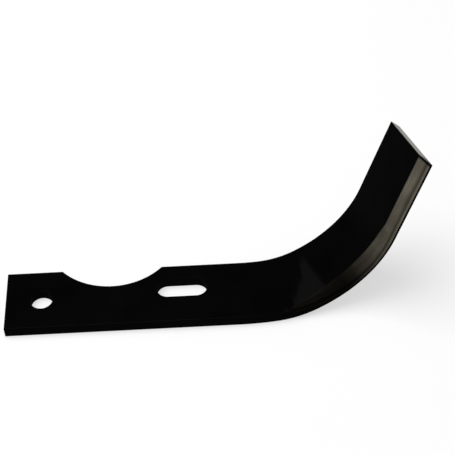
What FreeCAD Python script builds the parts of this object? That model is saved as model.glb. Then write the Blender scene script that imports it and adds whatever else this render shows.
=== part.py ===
"""Rotary tiller blade: one flat steel bar, swept edgewise, bent up, punched and bevelled.

Frame, in millimetres: the shank's underside lies on Z = 0, with the bolt hole's centre at the
origin. +X runs along the shank towards the tip, +Y towards the edge that the rotor tube's notch
is cut from, and +Z up, the way the leg is bent.
"""
import FreeCAD, Part
import math
import os
import Sketcher

NODE = "blade"

# Driving dimensions: lengths in millimetres, angles in degrees.
DIMENSIONS = [
    ("bar_width", 38.1, "flat bar, across the shank"),
    ("bar_thickness", 6.35, "flat bar, through the shank"),
    ("corner_radius", 0.6, "rolled corners along the bar"),
    ("hole_diameter", 12.0, "bolt hole, on the bar's centre line"),
    ("hole_from_end", 19.05, "butt end to the bolt hole's centre"),
    ("slot_width", 12.0, "second bolt's slot"),
    ("slot_length", 27.2, "second bolt's slot, over its round ends"),
    ("slot_from_hole", 75.5, "bolt hole's centre to the slot's centre, along the shank"),
    ("slot_offset", 3.75, "slot's centre off the centre line, towards the notch"),
    ("notch_radius", 36.5, "recess that clears the rotor tube"),
    ("rotor_offset", 43.5, "rotor tube's axis off the centre line"),
    ("sweep_from_hole", 106.0, "bolt hole's centre to the start of the edgewise sweep"),
    ("sweep_radius", 150.0, "edgewise sweep, at the centre line"),
    ("sweep_angle", 14.0, "edgewise sweep, towards the notch's side"),
    ("bend_from_hole", 121.5, "bolt hole's centre to the start of the bend, on the centre line"),
    ("bend_radius", 60.0, "bend, on its inner face"),
    ("bend_angle", 71.5, "how far the leg is bent up out of the shank"),
    ("leg_length", 51.3, "straight leg above the bend, on its inner face's centre line"),
    ("end_slant", 11.4, "slant of the sheared end, longer at the cutting edge"),
    ("end_lean", 27.3, "lean of the sheared end, longer on the leg's inner face"),
    ("bevel_width", 5.1, "bevel, across the leg's inner face"),
    ("edge_land", 1.6, "blunt land that the bevel leaves on the cutting edge"),
    ("bevel_stop_angle", 43.0, "where in the bend the full bevel ends, up from the shank"),
    ("runout_radius", 20.0, "run-out of the bevel below that point"),
    ("flat_bevel_width", 7.7, "flatter second bevel in the bend, across the inner face"),
    ("flat_bevel_radius", 50.0, "arc that the second bevel is ground on"),
    ("flat_bevel_angle", 50.0, "where in the bend the second bevel is full, up from the shank"),
]

# Places that follow from the driving dimensions.
HALF_WIDTH = "dims.bar_width / 2"
BEND_START = "dims.bend_from_hole * cos(dims.sweep_angle)"
LEG_START = f"{BEND_START} + dims.bend_radius * sin(dims.bend_angle)"
LEG_RISE = "dims.bar_thickness + dims.bend_radius * (1 - cos(dims.bend_angle))"
SWEEP_SAG = "dims.sweep_radius * (1 - cos(dims.sweep_angle))"
LEG_CENTRE = f"-{SWEEP_SAG} - dims.sweep_from_hole * sin(dims.sweep_angle)"

# Centre of the arc that the second bevel is ground on, in the swept frame, and its upper end.
FLAT_BEVEL_X = f"{BEND_START} + (dims.bend_radius - dims.flat_bevel_radius) * sin(dims.flat_bevel_angle)"
FLAT_BEVEL_Z = (
    "dims.bar_thickness + dims.bend_radius"
    " - (dims.bend_radius - dims.flat_bevel_radius) * cos(dims.flat_bevel_angle)"
)

# Lengths that together outreach the blade whichever way it is cut.
REACH = ("hole_from_end", "bend_from_hole", "bend_radius", "leg_length", "bar_width")
BEYOND = " + ".join(f"dims.{name}" for name in REACH)

OVERCUT = 0.25  # how far the bevel's cutting section overshoots the faces, as a share of its size
RUNOUT_SPAN = 1.5  # how long the run-out's arc is, as a multiple of what takes it out of the steel
QUARTER_TURN = "90"
HALF_SPAN = 50  # degrees of arc that clear the steel on either side of the second bevel
FLAT_BEVEL_TOP = f"(dims.flat_bevel_angle + {HALF_SPAN})"

X, Y, Z = FreeCAD.Vector(1, 0, 0), FreeCAD.Vector(0, 1, 0), FreeCAD.Vector(0, 0, 1)
START, END, CENTRE = 1, 2, 3
ORIGIN = (-1, 1)


def value(name):
    """A driving dimension's number, for a sketch's first guess."""
    return next(number for key, number, _ in DIMENSIONS if key == name)


def make_sheet(doc):
    """One row for each driving dimension: its name, its number and what it is."""
    sheet = doc.addObject("Spreadsheet::Sheet", "dims")
    for row, (name, number, meaning) in enumerate(DIMENSIONS, start=1):
        sheet.set(f"A{row}", name)
        sheet.set(f"B{row}", str(number))
        sheet.set(f"C{row}", meaning)
        sheet.setAlias(f"B{row}", name)
    doc.recompute()


def origin_plane(body, role):
    return next(feature for feature in body.Origin.OriginFeatures if feature.Role == role)


def attach(item, support, axis=None, turn=None, **shifts):
    """Lay a sketch or datum plane on its support, turned about one of its axes, then shifted.

    turn and the shifts (x, y or z) are formulas in the support's own frame.
    """
    item.AttachmentSupport = [(support, "")]
    item.MapMode = "FlatFace"
    if axis is not None:
        item.AttachmentOffset = FreeCAD.Placement(FreeCAD.Vector(), FreeCAD.Rotation(axis, 1.0))
        item.setExpression("AttachmentOffset.Rotation.Angle", turn)
    for direction, formula in shifts.items():
        item.setExpression(f"AttachmentOffset.Base.{direction}", formula)


def line(sketch, start, end):
    segment = Part.LineSegment(FreeCAD.Vector(*start, 0), FreeCAD.Vector(*end, 0))
    return sketch.addGeometry(segment, False)


def circle(centre, radius):
    return Part.Circle(FreeCAD.Vector(*centre, 0), Z, radius)


def arc(sketch, centre, radius, first, last):
    """Counter-clockwise arc between two directions, in degrees, seen from its centre."""
    span = Part.ArcOfCircle(circle(centre, radius), math.radians(first), math.radians(last))
    return sketch.addGeometry(span, False)


def constrain(sketch, kind, *references):
    return sketch.addConstraint(Sketcher.Constraint(kind, *references))


def size(sketch, name, formula, kind, *references):
    """Named dimension: references ends with a first guess, and the formula drives it."""
    sketch.renameConstraint(constrain(sketch, kind, *references), name)
    sketch.setExpression(f"Constraints.{name}", formula)


def draw_strip(sketch, start, foot, width, turn_at, inner_radius, angle, run):
    """Strip of constant width: straight, then an arc towards +y, then straight at that angle.

    Each argument is a pair: the formula that drives the size, and a first guess of it.
    """
    x0, y0, thick, x1, inner, turn, length = (
        pair[1] for pair in (start, foot, width, turn_at, inner_radius, angle, run)
    )
    centre = (x1, y0 + thick + inner)
    along = (math.cos(math.radians(turn)), math.sin(math.radians(turn)))

    def turned(radius, further):
        return (
            centre[0] + radius * along[1] + further * along[0],
            centre[1] - radius * along[0] + further * along[1],
        )

    outer_straight = line(sketch, (x0, y0), (x1, y0))
    outer_arc = arc(sketch, centre, inner + thick, -90, turn - 90)
    outer_leg = line(sketch, turned(inner + thick, 0), turned(inner + thick, length))
    end = line(sketch, turned(inner + thick, length), turned(inner, length))
    inner_leg = line(sketch, turned(inner, length), turned(inner, 0))
    inner_arc = arc(sketch, centre, inner, -90, turn - 90)
    inner_straight = line(sketch, (x1, y0 + thick), (x0, y0 + thick))
    butt = line(sketch, (x0, y0 + thick), (x0, y0))

    constrain(sketch, "Tangent", outer_straight, END, outer_arc, START)
    constrain(sketch, "Tangent", outer_arc, END, outer_leg, START)
    constrain(sketch, "Coincident", outer_leg, END, end, START)
    constrain(sketch, "Coincident", end, END, inner_leg, START)
    constrain(sketch, "Tangent", inner_leg, END, inner_arc, END)
    constrain(sketch, "Tangent", inner_arc, START, inner_straight, START)
    constrain(sketch, "Coincident", inner_straight, END, butt, START)
    constrain(sketch, "Coincident", butt, END, outer_straight, START)
    constrain(sketch, "Coincident", outer_arc, CENTRE, inner_arc, CENTRE)
    constrain(sketch, "Horizontal", outer_straight)
    constrain(sketch, "Vertical", butt)
    constrain(sketch, "Perpendicular", outer_leg, end)
    constrain(sketch, "Parallel", outer_leg, inner_leg)

    size(sketch, "start", start[0], "DistanceX", *ORIGIN, butt, END, x0)
    size(sketch, "foot", foot[0], "DistanceY", *ORIGIN, butt, END, y0)
    size(sketch, "width", width[0], "DistanceY", butt, END, butt, START, thick)
    size(sketch, "turn_at", turn_at[0], "DistanceX", *ORIGIN, outer_arc, CENTRE, x1)
    size(sketch, "inner_radius", inner_radius[0], "Radius", inner_arc, inner)
    size(sketch, "angle", angle[0], "Angle", outer_leg, math.radians(turn))
    size(sketch, "run", run[0], "Distance", outer_leg, length)


def draw_rectangle(sketch, low, high):
    """Rectangle from low to high: each is a pair of (formula, first guess) for x and y."""
    (left, bottom), (right, top) = low, high
    corners = [(left[1], bottom[1]), (right[1], bottom[1]), (right[1], top[1]), (left[1], top[1])]
    edges = [line(sketch, a, b) for a, b in zip(corners, corners[1:] + corners[:1])]
    for edge, following in zip(edges, edges[1:] + edges[:1]):
        constrain(sketch, "Coincident", edge, END, following, START)
    for edge, kind in zip(edges, ("Horizontal", "Vertical", "Horizontal", "Vertical")):
        constrain(sketch, kind, edge)
    size(sketch, "left", left[0], "DistanceX", *ORIGIN, edges[0], START, left[1])
    size(sketch, "bottom", bottom[0], "DistanceY", *ORIGIN, edges[0], START, bottom[1])
    size(sketch, "right", right[0], "DistanceX", *ORIGIN, edges[2], START, right[1])
    size(sketch, "top", top[0], "DistanceY", *ORIGIN, edges[2], START, top[1])


def draw_slot(sketch):
    """Round-ended slot along the shank, set towards the notch."""
    radius, half_run = value("slot_width") / 2, (value("slot_length") - value("slot_width")) / 2
    x, y = value("slot_from_hole"), value("slot_offset")
    lower = line(sketch, (x - half_run, y - radius), (x + half_run, y - radius))
    right = arc(sketch, (x + half_run, y), radius, -90, 90)
    upper = line(sketch, (x + half_run, y + radius), (x - half_run, y + radius))
    left = arc(sketch, (x - half_run, y), radius, 90, 270)
    constrain(sketch, "Tangent", lower, END, right, START)
    constrain(sketch, "Tangent", right, END, upper, START)
    constrain(sketch, "Tangent", upper, END, left, START)
    constrain(sketch, "Tangent", left, END, lower, START)
    constrain(sketch, "Horizontal", lower)
    constrain(sketch, "Equal", left, right)
    half = "(dims.slot_length - dims.slot_width) / 2"
    first, last = f"dims.slot_from_hole - {half}", f"dims.slot_from_hole + {half}"
    size(sketch, "slot_radius", "dims.slot_width / 2", "Radius", right, radius)
    size(sketch, "slot_first", first, "DistanceX", *ORIGIN, left, CENTRE, x - half_run)
    size(sketch, "slot_last", last, "DistanceX", *ORIGIN, right, CENTRE, x + half_run)
    size(sketch, "slot_offset", "dims.slot_offset", "DistanceY", *ORIGIN, right, CENTRE, y)


def draw_notch(sketch):
    """Whole circle about the rotor's axis, half way between the two bolts along the shank."""
    x, y = value("slot_from_hole") / 2, value("rotor_offset")
    notch = sketch.addGeometry(circle((x, y), value("notch_radius")), False)
    size(sketch, "notch_along", "dims.slot_from_hole / 2", "DistanceX", *ORIGIN, notch, CENTRE, x)
    size(sketch, "notch_across", "dims.rotor_offset", "DistanceY", *ORIGIN, notch, CENTRE, y)
    size(sketch, "notch_radius", "dims.notch_radius", "Radius", notch, value("notch_radius"))


def draw_bolt_hole(sketch):
    hole = sketch.addGeometry(circle((0, 0), value("hole_diameter") / 2), False)
    constrain(sketch, "Coincident", hole, CENTRE, *ORIGIN)
    size(sketch, "bore", "dims.hole_diameter / 2", "Radius", hole, value("hole_diameter") / 2)


def draw_bevel_section(sketch, name):
    """Triangle above a bevel: x points down into the leg from its inner face, y across it."""
    depth = value("bar_thickness") - value("edge_land")
    width, edge = value(name), -value("bar_width") / 2
    low = (depth * (1 + OVERCUT), edge - width * OVERCUT)
    high = (-depth * OVERCUT, edge + width * (1 + OVERCUT))
    corner = (high[0], low[1])
    slope = line(sketch, low, high)
    top = line(sketch, high, corner)
    side = line(sketch, corner, low)
    for edge_line, following in ((slope, top), (top, side), (side, slope)):
        constrain(sketch, "Coincident", edge_line, END, following, START)
    constrain(sketch, "Vertical", top)
    constrain(sketch, "Horizontal", side)
    drop = "(dims.bar_thickness - dims.edge_land)"
    outside = f"-{HALF_WIDTH} - dims.{name} * {OVERCUT}"
    inside = f"-{HALF_WIDTH} + dims.{name} * {1 + OVERCUT}"
    size(sketch, "below", f"{drop} * {1 + OVERCUT}", "DistanceX", *ORIGIN, slope, START, low[0])
    size(sketch, "above", f"{drop} * {-OVERCUT}", "DistanceX", *ORIGIN, slope, END, high[0])
    size(sketch, "outside", outside, "DistanceY", *ORIGIN, slope, START, low[1])
    size(sketch, "inside", inside, "DistanceY", *ORIGIN, slope, END, high[1])


def draw_bevel_path(sketch):
    """Down the leg's inner face, on round the bend, then off the face in a tighter arc."""
    bend, stop = value("bend_angle"), value("bevel_stop_angle")
    radius, runout = value("bend_radius"), value("runout_radius")
    centre = (bend_start_guess(), value("bar_thickness") + radius)

    def on_bend(degrees, reach=radius, about=centre):
        turn = math.radians(degrees)
        return (about[0] + reach * math.sin(turn), about[1] - reach * math.cos(turn))

    along = (math.cos(math.radians(bend)), math.sin(math.radians(bend)))
    run = value("leg_length") + value("bar_width")
    leg_foot = on_bend(bend)
    leg_top = (leg_foot[0] + run * along[0], leg_foot[1] + run * along[1])
    runout_centre = on_bend(stop, radius - runout)
    leg = line(sketch, leg_top, leg_foot)
    full = arc(sketch, centre, radius, stop - 90, bend - 90)
    off = arc(sketch, runout_centre, runout, stop - 90 - stop * RUNOUT_SPAN, stop - 90)
    constrain(sketch, "Tangent", leg, END, full, END)
    constrain(sketch, "Tangent", full, START, off, END)
    height = "dims.bar_thickness + dims.bend_radius"
    full_turn = "dims.bend_angle - dims.bevel_stop_angle"
    off_turn = f"dims.bevel_stop_angle * {RUNOUT_SPAN}"
    size(sketch, "bend_start", BEND_START, "DistanceX", *ORIGIN, full, CENTRE, centre[0])
    size(sketch, "bend_centre", height, "DistanceY", *ORIGIN, full, CENTRE, centre[1])
    size(sketch, "radius", "dims.bend_radius", "Radius", full, radius)
    size(sketch, "runout", "dims.runout_radius", "Radius", off, runout)
    size(sketch, "lean", "dims.bend_angle - 180", "Angle", leg, math.radians(bend - 180))
    size(sketch, "run", "dims.leg_length + dims.bar_width", "Distance", leg, run)
    size(sketch, "full_span", full_turn, "Angle", full, math.radians(bend - stop))
    size(sketch, "off_span", off_turn, "Angle", off, math.radians(stop * RUNOUT_SPAN))


def draw_flat_bevel_path(sketch):
    """One arc that touches the bend's inner face from inside and leaves it both ways."""
    radius, turn = value("flat_bevel_radius"), math.radians(value("flat_bevel_angle"))
    reach = value("bend_radius") - radius
    x = bend_start_guess() + reach * math.sin(turn)
    y = value("bar_thickness") + value("bend_radius") - reach * math.cos(turn)
    middle = value("flat_bevel_angle") - 90
    track = arc(sketch, (x, y), radius, middle - HALF_SPAN, middle + HALF_SPAN)
    size(sketch, "track_along", FLAT_BEVEL_X, "DistanceX", *ORIGIN, track, CENTRE, x)
    size(sketch, "track_up", FLAT_BEVEL_Z, "DistanceY", *ORIGIN, track, CENTRE, y)
    size(sketch, "track_radius", "dims.flat_bevel_radius", "Radius", track, radius)
    size(sketch, "track_span", f"2 * {HALF_SPAN}", "Angle", track, math.radians(2 * HALF_SPAN))
    start_up = f"{FLAT_BEVEL_Z} - dims.flat_bevel_radius * cos({FLAT_BEVEL_TOP})"
    guess_up = y - radius * math.cos(turn + math.radians(HALF_SPAN))
    size(sketch, "track_top", start_up, "DistanceY", *ORIGIN, track, END, guess_up)


def new_sketch(body, name):
    return body.newObject("Sketcher::SketchObject", name)


def cut_through(body, name, sketch):
    """Pocket right through the bar, both ways from its sketch."""
    pocket = body.newObject("PartDesign::Pocket", name)
    pocket.Profile = sketch
    pocket.SideType = "Symmetric"
    pocket.Type = "Length"
    pocket.setExpression("Length", f"2 * ({BEYOND})")


def guess(name):
    return (f"dims.{name}", value(name))


def bend_start_guess():
    return value("bend_from_hole") * math.cos(math.radians(value("sweep_angle")))


def make_frames(body):
    """Datum planes: one turned into the swept leg's direction, one on the leg's inner face."""
    swept = body.newObject("PartDesign::Plane", "swept_frame")
    attach(swept, origin_plane(body, "XY_Plane"), Z, "dims.sweep_angle")
    leg = body.newObject("PartDesign::Plane", "leg_face")
    attach(leg, swept, Y, "-dims.bend_angle", x=LEG_START, y=LEG_CENTRE, z=LEG_RISE)
    return swept, leg


def bend_bar(body, swept):
    """The bar seen along the fold line: flat shank, bend and leg, as deep as the whole blade."""
    sketch = new_sketch(body, "side_profile")
    attach(sketch, swept, X, QUARTER_TURN)
    draw_strip(
        sketch,
        start=("-dims.hole_from_end - dims.bar_width", -value("hole_from_end") - value("bar_width")),
        foot=("0", 0.0),
        width=guess("bar_thickness"),
        turn_at=(BEND_START, bend_start_guess()),
        inner_radius=guess("bend_radius"),
        angle=guess("bend_angle"),
        run=("dims.leg_length + dims.bar_width", value("leg_length") + value("bar_width")),
    )
    pad = body.newObject("PartDesign::Pad", "bent_bar")
    pad.Profile = sketch
    pad.SideType = "Symmetric"
    pad.setExpression("Length", BEYOND)


def sweep_edges(body):
    """Both long edges seen from above: everything outside them is trimmed off."""
    sketch = new_sketch(body, "plan_outline")
    attach(sketch, origin_plane(body, "XY_Plane"))
    half = value("bar_width") / 2
    draw_strip(
        sketch,
        start=("-dims.hole_from_end", -value("hole_from_end")),
        foot=(f"-{HALF_WIDTH}", -half),
        width=guess("bar_width"),
        turn_at=guess("sweep_from_hole"),
        inner_radius=(f"dims.sweep_radius - {HALF_WIDTH}", value("sweep_radius") - half),
        angle=guess("sweep_angle"),
        run=("dims.bend_radius + dims.leg_length", value("bend_radius") + value("leg_length")),
    )
    reach = 2 * sum(value(name) for name in REACH)
    low, high = (f"-2 * ({BEYOND})", -reach), (f"2 * ({BEYOND})", reach)
    draw_rectangle(sketch, (low, low), (high, high))
    cut_through(body, "long_edges", sketch)


def shear_end(body, leg):
    """The leg's end, sheared on a slant and leaning, longest where cutting edge meets inner face."""
    slant = body.newObject("PartDesign::Plane", "end_frame")
    attach(slant, leg, Z, "dims.end_slant", x="dims.leg_length")
    sketch = new_sketch(body, "end_line")
    attach(sketch, slant, Y, "dims.end_lean")
    wide = value("bar_width")
    low = (("0", 0.0), ("-dims.bar_width", -wide))
    high = (("2 * dims.bar_width", 2 * wide), ("dims.bar_width", wide))
    draw_rectangle(sketch, low, high)
    cut_through(body, "sheared_end", sketch)


def long_corners(shape):
    """Names of the edges where the bar's long walls meet its broad faces."""
    walls = [face for face in shape.Faces if is_long_wall(face)]
    names = []
    for number, edge in enumerate(shape.Edges, start=1):
        on_walls = sum(1 for face in walls if any(edge.isSame(rim) for rim in face.Edges))
        upright = abs((edge.Vertexes[-1].Point - edge.Vertexes[0].Point).normalize().z) > 0.999
        if on_walls == 1 and not upright:
            names.append(f"Edge{number}")
    return names


def is_long_wall(face):
    """Upright, and facing mostly across the shank."""
    u0, u1, v0, v1 = face.ParameterRange
    normal = face.normalAt((u0 + u1) / 2, (v0 + v1) / 2)
    return abs(normal.z) < 1e-6 and abs(normal.y) > 0.5


def roll_corners(doc, body):
    """Small rounding that the rolling mill leaves on the bar's four long corners."""
    doc.recompute()
    base = body.Tip
    fillet = body.newObject("PartDesign::Fillet", "rolled_corners")
    fillet.Base = (base, long_corners(base.Shape))
    fillet.setExpression("Radius", "dims.corner_radius")


def punch(doc, body):
    """Notch for the rotor tube, slot for the second bolt, and the bolt hole."""
    sketch = new_sketch(body, "notch_and_slot")
    attach(sketch, origin_plane(body, "XY_Plane"))
    draw_slot(sketch)
    draw_notch(sketch)
    cut_through(body, "punched", sketch)
    doc.recompute()
    centre = new_sketch(body, "hole_centre")
    attach(centre, origin_plane(body, "XY_Plane"))
    draw_bolt_hole(centre)
    doc.recompute()
    hole = body.newObject("PartDesign::Hole", "bolt_hole")
    hole.Profile = centre
    hole.Reversed = True
    hole.DepthType = "ThroughAll"
    hole.DrillPoint = "Flat"
    hole.setExpression("Diameter", "dims.hole_diameter")


def sweep_bevel(body, name, path, section, spine):
    bevel = body.newObject("PartDesign::SubtractivePipe", name)
    bevel.Profile = section
    bevel.Spine = (path, spine)


def bevel_edge(body, swept, leg):
    """Bevel ground along the leg's inner face on its cutting edge, running out in the bend."""
    path = new_sketch(body, "bevel_path")
    attach(path, swept, X, QUARTER_TURN, y=LEG_CENTRE)
    draw_bevel_path(path)
    section = new_sketch(body, "bevel_section")
    attach(section, leg, Y, QUARTER_TURN, x="dims.leg_length + dims.bar_width")
    draw_bevel_section(section, "bevel_width")
    sweep_bevel(body, "bevel", path, section, ["Edge1", "Edge2", "Edge3"])


def flatten_bevel(body, swept):
    """Second, flatter pass of the grinder, which widens the bevel where the bar bends."""
    path = new_sketch(body, "flat_bevel_path")
    attach(path, swept, X, QUARTER_TURN, y=LEG_CENTRE)
    draw_flat_bevel_path(path)
    top = body.newObject("PartDesign::Plane", "flat_bevel_top")
    attach(
        top,
        swept,
        Y,
        f"-{FLAT_BEVEL_TOP}",
        x=f"{FLAT_BEVEL_X} + dims.flat_bevel_radius * sin({FLAT_BEVEL_TOP})",
        y=LEG_CENTRE,
        z=f"{FLAT_BEVEL_Z} - dims.flat_bevel_radius * cos({FLAT_BEVEL_TOP})",
    )
    section = new_sketch(body, "flat_bevel_section")
    attach(section, top, Y, QUARTER_TURN)
    draw_bevel_section(section, "flat_bevel_width")
    sweep_bevel(body, "flat_bevel", path, section, ["Edge1"])


def make_blade(doc):
    body = doc.addObject("PartDesign::Body", NODE)
    body.Label = NODE
    swept, leg = make_frames(body)
    bend_bar(body, swept)
    sweep_edges(body)
    shear_end(body, leg)
    roll_corners(doc, body)
    punch(doc, body)
    bevel_edge(body, swept, leg)
    flatten_bevel(body, swept)
    doc.recompute()
    return body


def check(doc, body):
    """Stop on any object that did not build, and on a feature that did not cut."""
    for item in doc.Objects:
        if {"Invalid", "Error"} & set(item.State):
            raise RuntimeError(f"{item.Name} did not build: {item.State}")
    if body.Shape.isNull() or not body.Shape.isValid() or len(body.Shape.Solids) != 1:
        raise RuntimeError(f"{body.Name} is not one valid solid")
    volume = math.inf
    for feature in body.Group:
        if not feature.isDerivedFrom("PartDesign::Feature") or feature.isDerivedFrom("Part::Datum"):
            continue
        print(f"{feature.Name}: {feature.Shape.Volume:.1f} mm3")
        if feature.Shape.Volume >= volume:
            raise RuntimeError(f"{feature.Name} took nothing away")
        volume = feature.Shape.Volume


def main():
    doc = FreeCAD.newDocument("tiller_blade")
    make_sheet(doc)
    body = make_blade(doc)
    check(doc, body)
    os.makedirs("parts", exist_ok=True)
    body.Shape.exportStep(f"parts/{NODE}.step")
    box = body.Shape.BoundBox
    print(f"{NODE}: {box.XLength:.1f} x {box.YLength:.1f} x {box.ZLength:.1f} mm")


main()
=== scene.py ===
# %% [markdown]
# Rotary tiller blade: one flat steel bar, swept sideways, bent up into a cutting leg, punched,
# and ground to an edge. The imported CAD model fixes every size. This file dresses it: it copies
# the CAD mesh, eases its cut edges, lays a map of the bar's length over it, and gives paint,
# ground steel and sheared steel the surface that each has on the real blade.

import math

import bmesh
import bpy
from mathutils import Matrix, Vector


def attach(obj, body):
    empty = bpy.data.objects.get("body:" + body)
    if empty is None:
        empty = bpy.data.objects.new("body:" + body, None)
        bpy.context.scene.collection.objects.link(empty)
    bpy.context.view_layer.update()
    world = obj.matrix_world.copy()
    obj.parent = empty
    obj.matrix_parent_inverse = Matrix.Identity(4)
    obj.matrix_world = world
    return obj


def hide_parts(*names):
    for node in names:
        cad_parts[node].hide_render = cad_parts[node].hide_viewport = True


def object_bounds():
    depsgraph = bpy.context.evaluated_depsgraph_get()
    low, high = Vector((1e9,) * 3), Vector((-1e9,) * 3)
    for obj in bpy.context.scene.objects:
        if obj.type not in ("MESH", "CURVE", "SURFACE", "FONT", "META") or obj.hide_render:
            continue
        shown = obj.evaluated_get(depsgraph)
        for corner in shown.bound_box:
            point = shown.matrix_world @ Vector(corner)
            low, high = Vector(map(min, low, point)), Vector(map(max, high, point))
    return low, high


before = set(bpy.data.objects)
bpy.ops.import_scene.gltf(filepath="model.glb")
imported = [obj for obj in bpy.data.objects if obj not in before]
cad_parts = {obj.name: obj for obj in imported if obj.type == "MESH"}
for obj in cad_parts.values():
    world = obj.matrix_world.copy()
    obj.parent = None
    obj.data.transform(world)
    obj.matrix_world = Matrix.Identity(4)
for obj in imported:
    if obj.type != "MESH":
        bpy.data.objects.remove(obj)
cad_box = [list(corner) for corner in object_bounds()]
cad_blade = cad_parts["blade"]
scene = bpy.context.scene
MM = 0.001
print("CAD box, mm:", [[round(value / MM, 2) for value in corner] for corner in cad_box])

# %% [markdown]
# The bar's own sizes are needed to tell which faces the grinder made and how far along the bar
# a point lies. They are the same named values as in the part's source, in millimetres. The
# swept frame is turned with the leg, because the fold line is square to the swept leg.

# %% The bar's sizes
WIDTH, THICKNESS = 38.1, 6.35
SWEEP_FROM, SWEEP_RADIUS, SWEEP_ANGLE = 106.0, 150.0, math.radians(14.0)
BEND_FROM, BEND_RADIUS, BEND_ANGLE = 121.5, 60.0, math.radians(71.5)
LEG_LENGTH = 51.3
BEVEL_WIDTH, EDGE_LAND = 5.1, 1.6
BEVEL_STOP, RUNOUT_RADIUS = math.radians(43.0), 20.0
FLAT_BEVEL_WIDTH, FLAT_BEVEL_RADIUS, FLAT_BEVEL_ANGLE = 7.7, 50.0, math.radians(50.0)

BEVEL_DEPTH = THICKNESS - EDGE_LAND
BEND_START = BEND_FROM * math.cos(SWEEP_ANGLE)
BEND_CENTRE = Vector((BEND_START, THICKNESS + BEND_RADIUS))
LEG_CENTRE = SWEEP_RADIUS * (math.cos(SWEEP_ANGLE) - 1) - SWEEP_FROM * math.sin(SWEEP_ANGLE)


def on_arc(centre, radius, angle):
    """Point on an upright arc, its angle counted from straight down."""
    return centre + radius * Vector((math.sin(angle), -math.cos(angle)))


def place_on_bar(point):
    """How far along the bar, across it from the cutting edge, and below the inner face, in mm."""
    turned = Matrix.Rotation(-SWEEP_ANGLE, 3, "Z") @ (point / MM)
    seen = Vector((turned.x, turned.z))
    from_centre = seen - BEND_CENTRE
    angle = math.atan2(from_centre.x, -from_centre.y)
    if from_centre.x <= 0 or angle < 0:
        return point.x / MM, point.y / MM + WIDTH / 2, THICKNESS - turned.z
    across = turned.y - LEG_CENTRE + WIDTH / 2
    if angle < BEND_ANGLE:
        return BEND_START + BEND_RADIUS * angle, across, from_centre.length - BEND_RADIUS
    foot = on_arc(BEND_CENTRE, BEND_RADIUS, BEND_ANGLE)
    up_leg = Vector((math.cos(BEND_ANGLE), math.sin(BEND_ANGLE)))
    out_of_leg = Vector((math.sin(BEND_ANGLE), -math.cos(BEND_ANGLE)))
    along = BEND_START + BEND_RADIUS * BEND_ANGLE + (seen - foot).dot(up_leg)
    return along, across, (seen - foot).dot(out_of_leg)


BAR_END = BEND_START + BEND_RADIUS * BEND_ANGLE + LEG_LENGTH
print(f"bar's unrolled length from the bolt hole: {BAR_END:.1f} mm")

# %% [markdown]
# The blade itself. A CAD mesh is loose triangles whose edges are razor sharp. On the real blade
# the punch, the shear and the grinder leave edges eased by about a quarter of a millimetre, and
# paint rounds them further. So a copy is merged, its flat faces are joined so that the edges
# run clean, and every cut edge gets a small true bevel, which is what catches the light. The
# long rolled corners are already in the CAD model, so only edges sharper than 25 degrees count.

# %% A merged copy of the CAD blade
EDGE_EASE = 0.25 * MM
CUT_EDGE = math.radians(25)
SHADED_SHARP = math.radians(20)
SAME_POINT = 0.002 * MM
FLAT_ENOUGH = math.radians(0.2)

blade_mesh = cad_blade.data.copy()
blade_mesh.name = "tiller_blade"
blade_mesh.materials.clear()
if "custom_normal" in blade_mesh.attributes:
    blade_mesh.attributes.remove(blade_mesh.attributes["custom_normal"])
while blade_mesh.uv_layers:
    blade_mesh.uv_layers.remove(blade_mesh.uv_layers[0])
blade = bpy.data.objects.new("tiller_blade", blade_mesh)
scene.collection.objects.link(blade)

bm = bmesh.new()
bm.from_mesh(blade_mesh)
loose = len(bm.verts)
bmesh.ops.remove_doubles(bm, verts=bm.verts, dist=SAME_POINT)
bmesh.ops.dissolve_limit(
    bm, angle_limit=FLAT_ENOUGH, use_dissolve_boundaries=False, verts=bm.verts, edges=bm.edges
)
cut_edges = [
    edge for edge in bm.edges if edge.is_manifold and edge.calc_face_angle() > CUT_EDGE
]
print(f"{loose} loose corners merged to {len(bm.verts)}, {len(cut_edges)} cut edges to ease")

# %% [markdown]
# Which faces did the grinder make? Its wheel ran down the leg's inner side at a fixed slant,
# then left the steel in a tighter arc, and a second, flatter pass widened the bevel where the
# bar bends. A face belongs to the bevel when its middle lies on one of those slants, so the test
# is the grinder's own geometry and not a list of faces. The sheared end is the face that looks
# up the leg.

# %% Faces by how they were made
PAINTED, GROUND, SHEARED = 0, 1, 2
SLANT_SLACK = 0.04
BEVEL_SIDE_SLACK = 0.1
LOOKS_UP = 0.6
SLANT_FROM, SLANT_TO = 0.3, 0.9
RUNOUT_CENTRE = on_arc(BEND_CENTRE, BEND_RADIUS - RUNOUT_RADIUS, BEVEL_STOP)
FLAT_CENTRE = on_arc(BEND_CENTRE, BEND_RADIUS - FLAT_BEVEL_RADIUS, FLAT_BEVEL_ANGLE)


def slant_misses(depth, across, width):
    """How far a point is off a bevel of that width, as a share of the bevel's depth."""
    return abs(depth / BEVEL_DEPTH + across / width - 1)


def on_bevel(point):
    _, across, below = place_on_bar(point)
    turned = Matrix.Rotation(-SWEEP_ANGLE, 3, "Z") @ (point / MM)
    seen = Vector((turned.x, turned.z))
    depths = (
        (below, BEVEL_WIDTH),
        ((seen - RUNOUT_CENTRE).length - RUNOUT_RADIUS, BEVEL_WIDTH),
        ((seen - FLAT_CENTRE).length - FLAT_BEVEL_RADIUS, FLAT_BEVEL_WIDTH),
    )
    return min(slant_misses(depth, across, width) for depth, width in depths) < SLANT_SLACK


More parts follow.
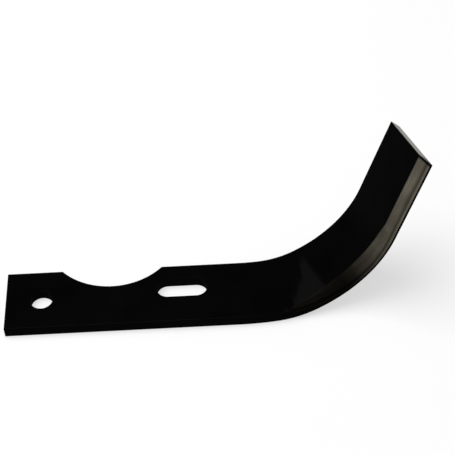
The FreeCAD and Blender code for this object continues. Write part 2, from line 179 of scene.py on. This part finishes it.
def how_made(face):
    middle = face.calc_center_median()
    along, across, _ = place_on_bar(middle)
    if along > BAR_END - WIDTH / 2 and face.normal.z > LOOKS_UP:
        return SHEARED
    towards_edge = -(Matrix.Rotation(-SWEEP_ANGLE, 3, "Z") @ face.normal).y
    slanted = SLANT_FROM < towards_edge < SLANT_TO
    near_edge = across < FLAT_BEVEL_WIDTH + BEVEL_SIDE_SLACK
    return GROUND if along > BEND_START and slanted and near_edge and on_bevel(middle) else PAINTED


for face in bm.faces:
    face.material_index = how_made(face)
    face.smooth = True
for index, name in ((GROUND, "ground bevel"), (SHEARED, "sheared end")):
    area = sum(face.calc_area() for face in bm.faces if face.material_index == index)
    print(f"{name}: {area / MM**2:.0f} mm2")

# %% [markdown]
# The cut edges are eased with a bevel of two segments. The new narrow faces carry a mark named
# rim, which the enamel reads later, because paint pulls thin over an edge. Faces shade smoothly
# across shallow corners only, so that the crest of the bevel stays crisp.

# %% Eased cut edges, with a mark on them that the paint reads
rim = bm.faces.layers.float.new("rim")
eased = bmesh.ops.bevel(
    bm,
    geom=cut_edges,
    offset=EDGE_EASE,
    offset_type="OFFSET",
    segments=2,
    profile=0.5,
    affect="EDGES",
    clamp_overlap=False,
    material=-1,
)
for face in eased["faces"]:
    face[rim] = 1.0
    face.smooth = True
for edge in bm.edges:
    edge.smooth = edge.is_manifold and edge.calc_face_angle() < SHADED_SHARP
print(f"{len(eased['faces'])} faces on the eased edges, {len(bm.faces)} in all")

# %% [markdown]
# Grinding lines run along the bevel and bend with the leg, so a straight pattern in space would
# cross them. The blade gets a UV map instead: u is the distance along the unrolled bar and v
# the distance across it, both in metres, so that a pattern's scale is still a real size.

# %% A map of the unrolled bar
bar_map = bm.loops.layers.uv.new("bar")
for face in bm.faces:
    for loop in face.loops:
        along, across, _ = place_on_bar(loop.vert.co)
        loop[bar_map].uv = (along * MM, across * MM)
bm.to_mesh(blade_mesh)
bm.free()
print("UV map laid over", len(blade_mesh.polygons), "faces")
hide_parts("blade")
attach(blade, "root")

# %% [markdown]
# Materials are built from nodes. One function turns an sRGB hex value into the linear colour
# that Blender works in, and one adds a node with its settings and links.

# %% Node helpers
def linear(hex_colour):
    """sRGB hex to linear RGBA."""
    channels = [int(hex_colour[i : i + 2], 16) / 255 for i in (1, 3, 5)]
    return tuple(
        c / 12.92 if c <= 0.04045 else ((c + 0.055) / 1.055) ** 2.4 for c in channels
    ) + (1.0,)


def grey(level):
    """Linear grey, used as a share of another colour."""
    return (level, level, level, 1.0)


def add(tree, kind, settings=None, stops=(), **inputs):
    """Add a node. An input is a value, or another node's output to link; _ stands for a space.

    Stops are a colour ramp's positions and linear colours. _0 is the input numbered 0.
    """
    node = tree.nodes.new(kind)
    for key, setting in (settings or {}).items():
        setattr(node, key, setting)
    elements = node.color_ramp.elements if stops else ()
    while len(elements) < len(stops):
        elements.new(0.5)
    for element, (position, colour) in zip(elements, stops):
        element.position = position
        element.color = colour
    for key, wanted in inputs.items():
        name = int(key[1:]) if key[1:].isdigit() else key.replace("_", " ")
        if isinstance(wanted, bpy.types.NodeSocket):
            tree.links.new(wanted, node.inputs[name])
        else:
            node.inputs[name].default_value = wanted
    return node


def new_material(name):
    """An empty node material and its tree."""
    material = bpy.data.materials.new(name)
    material.use_nodes = True
    material.node_tree.nodes.clear()
    return material, material.node_tree


# %% [markdown]
# Gloss black enamel, dipped and baked on hot-rolled bar. It is a dielectric film over a black
# ground: almost no diffuse colour, and a thin clear gloss that mirrors only bright things. The
# film is not flat: it has orange peel about 1.5 mm across, slow sags of a few centimetres, and
# the odd dust nib. It pulls back from cut edges, where it is thinner and a little browner.

# %% Patterns in the enamel, each given by its repeats in a metre
SAGS, PEEL, NIBS, CHIPS = 40.0, 650.0, 110.0, 300.0

enamel, tree = new_material("gloss_black_enamel_dipped")
object_coords = add(tree, "ShaderNodeTexCoord").outputs["Object"]
sag = add(tree, "ShaderNodeTexNoise", Vector=object_coords, Scale=SAGS, Detail=2.0)
peel = add(tree, "ShaderNodeTexNoise", Vector=object_coords, Scale=PEEL, Detail=1.0)
nibs = add(tree, "ShaderNodeTexVoronoi", {"feature": "F1"}, Vector=object_coords, Scale=NIBS)
rim_mark = add(tree, "ShaderNodeAttribute", {"attribute_name": "rim"}).outputs["Fac"]
chips = add(tree, "ShaderNodeTexNoise", Vector=object_coords, Scale=CHIPS, Detail=3.0)
print(enamel.name, len(tree.nodes), "nodes so far")

# %% Colour and surface of the enamel
SAG_TONES = ((0.35, linear("#020202")), (0.7, linear("#060505")))
THIN_PAINT = linear("#2A221D")
black = add(tree, "ShaderNodeValToRGB", stops=SAG_TONES, Fac=sag.outputs["Fac"])
broken = add(
    tree,
    "ShaderNodeMapRange",
    Value=chips.outputs["Fac"],
    From_Min=0.45,
    From_Max=0.75,
    To_Max=0.35,
)
thin = add(
    tree, "ShaderNodeMath", {"operation": "MULTIPLY"}, _0=rim_mark, _1=broken.outputs["Result"]
)
colour = add(
    tree,
    "ShaderNodeMix",
    {"data_type": "RGBA"},
    _0=thin.outputs["Value"],
    _6=black.outputs["Color"],
    _7=THIN_PAINT,
)
nib_height = add(
    tree,
    "ShaderNodeMapRange",
    Value=nibs.outputs["Distance"],
    From_Max=0.05,
    To_Min=1.0,
    To_Max=0.0,
)
film = add(
    tree,
    "ShaderNodeMath",
    {"operation": "MULTIPLY_ADD"},
    _0=peel.outputs["Fac"],
    _1=0.35,
    _2=nib_height.outputs["Result"],
)
bump = add(
    tree, "ShaderNodeBump", Strength=0.12, Distance=0.05 * MM, Height=film.outputs["Value"]
)
uneven = add(
    tree,
    "ShaderNodeMapRange",
    Value=sag.outputs["Fac"],
    From_Min=0.3,
    From_Max=0.7,
    To_Min=0.34,
    To_Max=0.5,
)
surface = add(
    tree,
    "ShaderNodeBsdfPrincipled",
    Base_Color=colour.outputs[2],
    Roughness=uneven.outputs["Result"],
    Normal=bump.outputs["Normal"],
)
surface.inputs["Specular IOR Level"].default_value = 0.0
surface.inputs["Coat Weight"].default_value = 0.025
surface.inputs["Coat Roughness"].default_value = 0.12
add(tree, "ShaderNodeOutputMaterial", Surface=surface.outputs["BSDF"])
blade_mesh.materials.append(enamel)
print(enamel.name, len(tree.nodes), "nodes")

# %% [markdown]
# Ground steel. A wheel run along the edge cuts fine lines lengthways, and a thin film of oil
# and dust darkens it to a warm grey. It is a metal, so its colour is what it mirrors, and the
# room that it mirrors is white, so the tones below are close to the tones seen. The lines are
# about 0.6 mm apart, drawn coarser than the real ones so that they show. The steel is darker in
# a streak just inside a bright line along the cutting edge. That streak is painted shade, put
# in for the shade of a step and a burr that the wheel left. The steel is also made dark at the
# very tip, and darker and darker down the bend, till the run-out is all black. What darkens it
# there is not known. Those causes are a guess. Each mark is a veil, a grey that the steel's own
# tone is multiplied by, and the veils' shares were set one by one.

# %% Ground steel and the marks on it
MULTIPLY = {"data_type": "RGBA", "blend_type": "MULTIPLY"}
LINES_ALONG, LINES_ACROSS = 25.0, 1600.0
PATCHES_ALONG, PATCHES_ACROSS = 90.0, 260.0
STEEL_TONES = ((0.3, linear("#5E5B52")), (0.55, linear("#6B675D")), (0.75, linear("#77736A")))
STAIN_TONES = ((0.35, linear("#E0D9D8")), (0.65, linear("#FAFAF0")))

ground, tree = new_material("steel_bevel_ground_lengthways")
bar_uv = add(tree, "ShaderNodeUVMap", {"uv_map": "bar"}).outputs["UV"]
on_bar = add(tree, "ShaderNodeSeparateXYZ", Vector=bar_uv)
stretched = add(tree, "ShaderNodeMapping", Vector=bar_uv, Scale=(LINES_ALONG, LINES_ACROSS, 1.0))
lines = add(tree, "ShaderNodeTexNoise", Vector=stretched.outputs["Vector"], Scale=1.0, Detail=3.0)
patches = add(
    tree, "ShaderNodeMapping", Vector=bar_uv, Scale=(PATCHES_ALONG, PATCHES_ACROSS, 1.0)
)
stain = add(tree, "ShaderNodeTexNoise", Vector=patches.outputs["Vector"], Scale=1.0, Detail=2.0)
bevel_tone = add(tree, "ShaderNodeValToRGB", stops=STEEL_TONES, Fac=lines.outputs["Fac"])
stained = add(tree, "ShaderNodeValToRGB", stops=STAIN_TONES, Fac=stain.outputs["Fac"])
print(ground.name, "tones laid")

# %% Veils along and across the bevel
# Painted shade: a darker streak about 1 to 1.5 mm in from the cutting edge, for the shade of a
# step and a burr.
STEP_SHADE_FROM, STEP_SHADE_TO = 0.0, 4.0
PAINTED_STEP_SHADE = ((0.0, 1.0), (0.16, 1.0), (0.26, 0.4), (0.36, 0.42), (0.55, 0.95))
# Darker and darker down the bend, till the run-out is all black; what darkens it is not known.
BEND_DARK_FROM, BEND_DARK_TO = 150.0, 230.0
BEND_DARKENING = ((0.08, 0.03), (0.16, 0.08), (0.28, 0.34), (0.42, 0.62), (0.7, 0.72), (0.95, 1.0))
# Dark at the very tip, across a slanted band about 1.4 mm wide at the end of the bar.
TIP_FROM, TIP_TO, TIP_SLANT = 243.1, 244.5, 0.29
TIP_DARKENING = ((0.0, 1.0), (0.9, 0.04))

from_tip = add(
    tree,
    "ShaderNodeMath",
    {"operation": "MULTIPLY_ADD"},
    _0=on_bar.outputs["Y"],
    _1=-TIP_SLANT,
    _2=on_bar.outputs["X"],
)
veils = [stained.outputs["Color"]]
for reading, low, high, shares in (
    (on_bar.outputs["Y"], STEP_SHADE_FROM, STEP_SHADE_TO, PAINTED_STEP_SHADE),
    (on_bar.outputs["X"], BEND_DARK_FROM, BEND_DARK_TO, BEND_DARKENING),
    (from_tip.outputs["Value"], TIP_FROM, TIP_TO, TIP_DARKENING),
):
    place = add(tree, "ShaderNodeMapRange", Value=reading, From_Min=low * MM, From_Max=high * MM)
    greys = [(position, grey(share)) for position, share in shares]
    veil = add(tree, "ShaderNodeValToRGB", stops=greys, Fac=place.outputs["Result"])
    veils.append(veil.outputs["Color"])
veiled = bevel_tone.outputs["Color"]
for veil in veils:
    veiled = add(tree, "ShaderNodeMix", MULTIPLY, _0=1.0, _6=veiled, _7=veil).outputs[2]
print(len(veils), "veils over the ground steel")

# %% Ground steel's surface
scratches = add(
    tree, "ShaderNodeBump", Strength=0.25, Distance=0.03 * MM, Height=lines.outputs["Fac"]
)
brushed = add(
    tree,
    "ShaderNodeMapRange",
    Value=lines.outputs["Fac"],
    From_Min=0.3,
    From_Max=0.7,
    To_Min=0.34,
    To_Max=0.46,
)
surface = add(
    tree,
    "ShaderNodeBsdfPrincipled",
    Base_Color=veiled,
    Metallic=1.0,
    Roughness=brushed.outputs["Result"],
    Normal=scratches.outputs["Normal"],
)
add(tree, "ShaderNodeOutputMaterial", Surface=surface.outputs["BSDF"])
blade_mesh.materials.append(ground)
print(ground.name, len(tree.nodes), "nodes")

# %% [markdown]
# Sheared steel. A shear cuts the first third clean and tears the rest, so the end has fine
# lines through the thickness, rougher towards the side where it broke. The lines are about
# 0.7 mm apart across the bar. The end is black where the bevel meets it, which is taken for
# paint that ran over the edge.

# %% Sheared end
TEARS_ALONG, TEARS_ACROSS = 60.0, 1500.0
TORN_TONES = ((0.3, linear("#6A665E")), (0.6, linear("#827E74")), (0.8, linear("#959086")))
# Near-black up to 4.5 mm from the cutting edge, back to the steel's own tone by 7 mm.
EDGE_DARK_FROM, EDGE_DARK_TO = 4.5, 7.0
EDGE_DARKENING = ((0.0, grey(0.05)), (1.0, grey(1.0)))

sheared, tree = new_material("steel_end_sheared")
bar_uv = add(tree, "ShaderNodeUVMap", {"uv_map": "bar"}).outputs["UV"]
across_bar = add(tree, "ShaderNodeSeparateXYZ", Vector=bar_uv).outputs["Y"]
stretched = add(tree, "ShaderNodeMapping", Vector=bar_uv, Scale=(TEARS_ALONG, TEARS_ACROSS, 1.0))
tears = add(tree, "ShaderNodeTexNoise", Vector=stretched.outputs["Vector"], Scale=1.0, Detail=3.0)
torn_tone = add(tree, "ShaderNodeValToRGB", stops=TORN_TONES, Fac=tears.outputs["Fac"])
from_edge = add(
    tree,
    "ShaderNodeMapRange",
    Value=across_bar,
    From_Min=EDGE_DARK_FROM * MM,
    From_Max=EDGE_DARK_TO * MM,
)
darker_near_edge = add(tree, "ShaderNodeValToRGB", stops=EDGE_DARKENING, Fac=from_edge.outputs["Result"])
veiled = add(
    tree,
    "ShaderNodeMix",
    MULTIPLY,
    _0=1.0,
    _6=torn_tone.outputs["Color"],
    _7=darker_near_edge.outputs["Color"],
)
torn = add(tree, "ShaderNodeBump", Strength=0.3, Distance=0.05 * MM, Height=tears.outputs["Fac"])
rough = add(
    tree,
    "ShaderNodeMapRange",
    Value=tears.outputs["Fac"],
    From_Min=0.3,
    From_Max=0.7,
    To_Min=0.35,
    To_Max=0.5,
)
surface = add(
    tree,
    "ShaderNodeBsdfPrincipled",
    Base_Color=veiled.outputs[2],
    Metallic=1.0,
    Roughness=rough.outputs["Result"],
    Normal=torn.outputs["Normal"],
)
add(tree, "ShaderNodeOutputMaterial", Surface=surface.outputs["BSDF"])
blade_mesh.materials.append(sheared)
print(sheared.name, len(tree.nodes), "nodes")

# %% [markdown]
# The floor is a plain pale sheet that the blade lies on. It is a little grey under the lamps,
# and gives off what it lacks of white to the camera and to anything that mirrors it, so that
# the background is clean white while the blade's shadow stays.

# %% Floor
FLOOR_SIZE = 6.0
FLOOR_GAP = 0.02 * MM
PAPER_GREY = 0.45
SELF_LIT = 0.6
MORE = {"operation": "MAXIMUM"}

floor_mesh = bpy.data.meshes.new("floor")
bm = bmesh.new()
bmesh.ops.create_grid(bm, x_segments=1, y_segments=1, size=FLOOR_SIZE / 2)
bmesh.ops.translate(bm, verts=bm.verts, vec=(0.0, 0.0, cad_box[0][2] - FLOOR_GAP))
bm.to_mesh(floor_mesh)
bm.free()
floor = bpy.data.objects.new("floor", floor_mesh)
scene.collection.objects.link(floor)

paper, tree = new_material("matt_white_paper")
diffuse = add(tree, "ShaderNodeBsdfDiffuse", Color=grey(PAPER_GREY))
ray = add(tree, "ShaderNodeLightPath").outputs
seen = add(tree, "ShaderNodeMath", MORE, _0=ray["Is Camera Ray"], _1=ray["Is Glossy Ray"])
seen = add(tree, "ShaderNodeMath", MORE, _0=seen.outputs[0], _1=ray["Is Transmission Ray"])
glow_strength = add(
    tree, "ShaderNodeMath", {"operation": "MULTIPLY"}, _0=seen.outputs[0], _1=SELF_LIT
)
glow = add(tree, "ShaderNodeEmission", Strength=glow_strength.outputs[0])
both = add(tree, "ShaderNodeAddShader", _0=diffuse.outputs["BSDF"], _1=glow.outputs["Emission"])
add(tree, "ShaderNodeOutputMaterial", Surface=both.outputs["Shader"])
floor_mesh.materials.append(paper)
print("floor under the blade at", round(cad_box[0][2] / MM, 3), "mm")

# %% [markdown]
# Light. Black gloss and bare steel show what they mirror, so the room is white wherever it is
# mirrored, and gives little light of its own. One wide lamp overhead lights the floor evenly
# and leaves a soft shadow under the blade.

# %% World and lamps
ROOM = 0.35

world = bpy.data.worlds.new("studio")
scene.world = world
world.use_nodes = True
tree = world.node_tree
tree.nodes.clear()
ray = add(tree, "ShaderNodeLightPath").outputs
seen = add(tree, "ShaderNodeMath", MORE, _0=ray["Is Camera Ray"], _1=ray["Is Glossy Ray"])
seen = add(tree, "ShaderNodeMath", MORE, _0=seen.outputs[0], _1=ray["Is Transmission Ray"])
strength = add(tree, "ShaderNodeMapRange", Value=seen.outputs[0], To_Min=ROOM, To_Max=1.0)
background = add(tree, "ShaderNodeBackground", Strength=strength.outputs["Result"])
add(tree, "ShaderNodeOutputWorld", Surface=background.outputs["Background"])

middle = (Vector(cad_box[0]) + Vector(cad_box[1])) / 2


def lamp(name, aim, direction, distance, size, power):
    """Square area lamp that looks at aim from that direction."""
    data = bpy.data.lights.new(name, "AREA")
    data.shape = "SQUARE"
    data.size = size
    data.energy = power
    item = bpy.data.objects.new(name, data)
    towards = Vector(direction).normalized()
    item.location = aim + towards * distance
    item.rotation_euler = towards.to_track_quat("Z", "Y").to_euler()
    scene.collection.objects.link(item)
    print(f"{name}: {power} W from {[round(v, 2) for v in item.location]}")


lamp("overhead", aim=middle, direction=(-0.35, 0.1, 1.0), distance=1.6, size=1.4, power=22.0)

# %% [markdown]
# The camera looks down on the blade at about 48 degrees from its cutting-edge side, through a
# long lens. Its place, the point it looks at and its small roll come from the same frame.

# %% Camera
CAMERA_AT = Vector((97.60, -475.64, 588.22)) * MM
LOOK_AT = Vector((101.79, 50.75, 0.0)) * MM
ROLL = math.radians(-2.517)
LENS, SENSOR = 110.77, 36.0

camera_data = bpy.data.cameras.new("camera")
camera_data.lens = LENS
camera_data.sensor_width = SENSOR
camera_data.clip_start = 0.01
camera = bpy.data.objects.new("camera", camera_data)
scene.collection.objects.link(camera)
scene.camera = camera
aimed = (CAMERA_AT - LOOK_AT).to_track_quat("Z", "Y").to_matrix() @ Matrix.Rotation(ROLL, 3, "Z")
camera.matrix_world = Matrix.Translation(CAMERA_AT) @ aimed.to_4x4()
scene.view_settings.view_transform = "Standard"
print("camera axes:", [[round(v, 3) for v in row] for row in aimed.transposed()])
